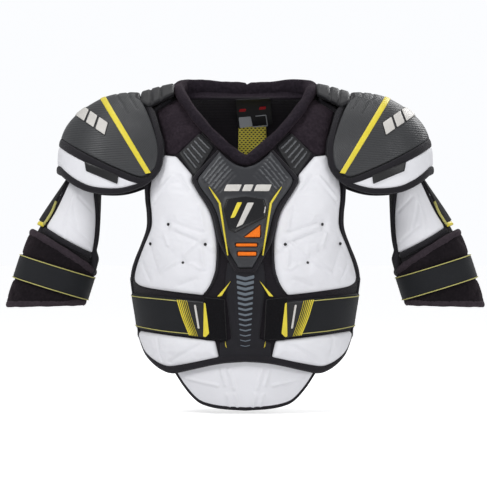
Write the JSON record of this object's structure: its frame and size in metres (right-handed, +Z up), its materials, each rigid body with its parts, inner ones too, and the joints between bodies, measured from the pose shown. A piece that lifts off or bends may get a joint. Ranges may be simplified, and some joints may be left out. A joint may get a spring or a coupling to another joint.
{
  "type": "ice hockey shoulder pads",
  "caption": "Ice hockey shoulder pads: padded vest with a moulded sternum plate, hinged shoulder caps, hanging upper-arm guards with cuffs, side straps and a belly flap.",
  "frame": {"origin": "the middle of the bottom of the whole box, below the middle of the trunk, level with the lowest point of the belly pad", "axes": "+Z up along the wearer's trunk, the wearer faces -Y, the wearer's left side is +X"},
  "size_m": [0.6962, 0.2692, 0.4843],
  "materials": {
    "liner_fabric": "woven polyester over foam",
    "white_moulded_foam": "moulded film over foam",
    "tack": "black press studs",
    "plate": "moulded, satin",
    "impact_foam": "orange open foam",
    "emblem": "raised gel badge",
    "ribbed_fabric": "moulded ribs",
    "brushed_fabric": "brushed tricot",
    "centre_fabric": "printed knit",
    "cap_shell": "fine ridges",
    "cap_foam": "closed-cell foam",
    "yellow_trim": "yellow film",
    "badge": "silver film",
    "elastic": "woven elastic with yellow edges",
    "pull_tab": "printed film over webbing",
    "loop_patch": "loop fastener",
    "cuff_fabric": "brushed loop fabric over foam",
    "webbing": "woven webbing",
    "mesh": "yellow spacer mesh",
    "label": "blank woven label"
  },
  "bodies": {
    "trunk": {"front_liner": "liner_fabric", "back_liner": "liner_fabric", "neck_collar": "brushed_fabric", "chest_tacks": "tack", "sternum_plate": "plate", "sternum_foam": "impact_foam", "emblem": "emblem", "centre_pad": "centre_fabric", "spine_plate": "plate", "back_mesh": "mesh", "neck_label": "label", "hanger_loop": "webbing", "left_chest_pad": "white_moulded_foam", "right_chest_pad": "white_moulded_foam", "left_rib_pad": "white_moulded_foam", "right_rib_pad": "white_moulded_foam", "left_collarbone_plate": "ribbed_fabric", "right_collarbone_plate": "ribbed_fabric", "left_yoke": "brushed_fabric", "right_yoke": "brushed_fabric", "left_back_pad": "white_moulded_foam", "right_back_pad": "white_moulded_foam", "left_loop_patch": "loop_patch", "right_loop_patch": "loop_patch", "left_side_elastic": "elastic", "right_side_elastic": "elastic"},
    "belly_pad": {"belly_pad": "white_moulded_foam"},
    "left_trunk_strap": {"left_trunk_strap": "elastic", "left_pull_tab": "pull_tab"},
    "left_arch": {"left_shoulder_arch": "ribbed_fabric"},
    "left_cap": {"left_cap_base": "white_moulded_foam", "left_cap_shell": "cap_shell", "left_cap_foam": "cap_foam", "left_cap_stripe": "yellow_trim", "left_cap_badge": "badge"},
    "left_hanger": {"left_arm_hanger": "webbing"},
    "left_arm": {"left_bicep_guard": "white_moulded_foam", "left_bicep_cuff": "cuff_fabric", "left_cuff_band_rear": "elastic", "left_length_strap": "webbing", "left_length_tab": "yellow_trim"},
    "left_cuff_band": {"left_cuff_band": "elastic"},
    "right_trunk_strap": {"right_trunk_strap": "elastic", "right_pull_tab": "pull_tab"},
    "right_arch": {"right_shoulder_arch": "ribbed_fabric"},
    "right_cap": {"right_cap_base": "white_moulded_foam", "right_cap_shell": "cap_shell", "right_cap_foam": "cap_foam", "right_cap_stripe": "yellow_trim", "right_cap_badge": "badge"},
    "right_hanger": {"right_arm_hanger": "webbing"},
    "right_arm": {"right_bicep_guard": "white_moulded_foam", "right_bicep_cuff": "cuff_fabric", "right_cuff_band_rear": "elastic", "right_length_strap": "webbing", "right_length_tab": "yellow_trim"},
    "right_cuff_band": {"right_cuff_band": "elastic"}
  },
  "joints": [
    {"name": "belly_pad_flap", "type": "hinge", "parent": "trunk", "child": "belly_pad", "pos_m": [0, -0.104, 0.054], "axis": [-1, 0, 0], "range_deg": [0, 60]},
    {"name": "left_strap_open", "type": "hinge", "parent": "trunk", "child": "left_trunk_strap", "pos_m": [0.1635, -0.013, 0.14], "axis": [0, 0, 1], "range_deg": [0, 60]},
    {"name": "left_arm_raise", "type": "hinge", "parent": "trunk", "child": "left_hanger", "pos_m": [0.16, 0.005, 0.45], "axis": [0, -1, 0], "range_deg": [0, 50]},
    {"name": "left_arch_lift", "type": "hinge", "parent": "trunk", "child": "left_arch", "pos_m": [0.105, 0.014, 0.465], "axis": [0, -1, 0], "range_deg": [0, 17.5]},
    {"name": "left_cap_lift", "type": "hinge", "parent": "left_arch", "child": "left_cap", "pos_m": [0.14, 0.005, 0.458], "axis": [0, -1, 0], "range_deg": [0, 32.5]},
    {"name": "left_arm_swing", "type": "hinge", "parent": "left_hanger", "child": "left_arm", "pos_m": [0.222, 0, 0.372], "axis": [0.9563, 0, 0.2924], "range_deg": [-12, 12]},
    {"name": "left_cuff_open", "type": "hinge", "parent": "left_arm", "child": "left_cuff_band", "pos_m": [0.33621, -0.001, 0.20839], "axis": [-0.2924, 0, 0.9563], "range_deg": [0, 60]},
    {"name": "right_strap_open", "type": "hinge", "parent": "trunk", "child": "right_trunk_strap", "pos_m": [-0.1635, -0.013, 0.14], "axis": [0, 0, -1], "range_deg": [0, 60]},
    {"name": "right_arm_raise", "type": "hinge", "parent": "trunk", "child": "right_hanger", "pos_m": [-0.16, 0.005, 0.45], "axis": [0, 1, 0], "range_deg": [0, 50]},
    {"name": "right_arch_lift", "type": "hinge", "parent": "trunk", "child": "right_arch", "pos_m": [-0.105, 0.014, 0.465], "axis": [0, 1, 0], "range_deg": [0, 17.5]},
    {"name": "right_cap_lift", "type": "hinge", "parent": "right_arch", "child": "right_cap", "pos_m": [-0.14, 0.005, 0.458], "axis": [0, 1, 0], "range_deg": [0, 32.5]},
    {"name": "right_arm_swing", "type": "hinge", "parent": "right_hanger", "child": "right_arm", "pos_m": [-0.222, 0, 0.372], "axis": [0.9563, 0, -0.2924], "range_deg": [-12, 12]},
    {"name": "right_cuff_open", "type": "hinge", "parent": "right_arm", "child": "right_cuff_band", "pos_m": [-0.33621, -0.001, 0.20839], "axis": [-0.2924, 0, -0.9563], "range_deg": [0, 60]}
  ],
  "couplings": [
    {"joint": "left_arch_lift", "follows": "left_arm_raise", "ratio": 0.35},
    {"joint": "left_cap_lift", "follows": "left_arm_raise", "ratio": 0.65},
    {"joint": "right_arch_lift", "follows": "right_arm_raise", "ratio": 0.35},
    {"joint": "right_cap_lift", "follows": "right_arm_raise", "ratio": 0.65}
  ]
}
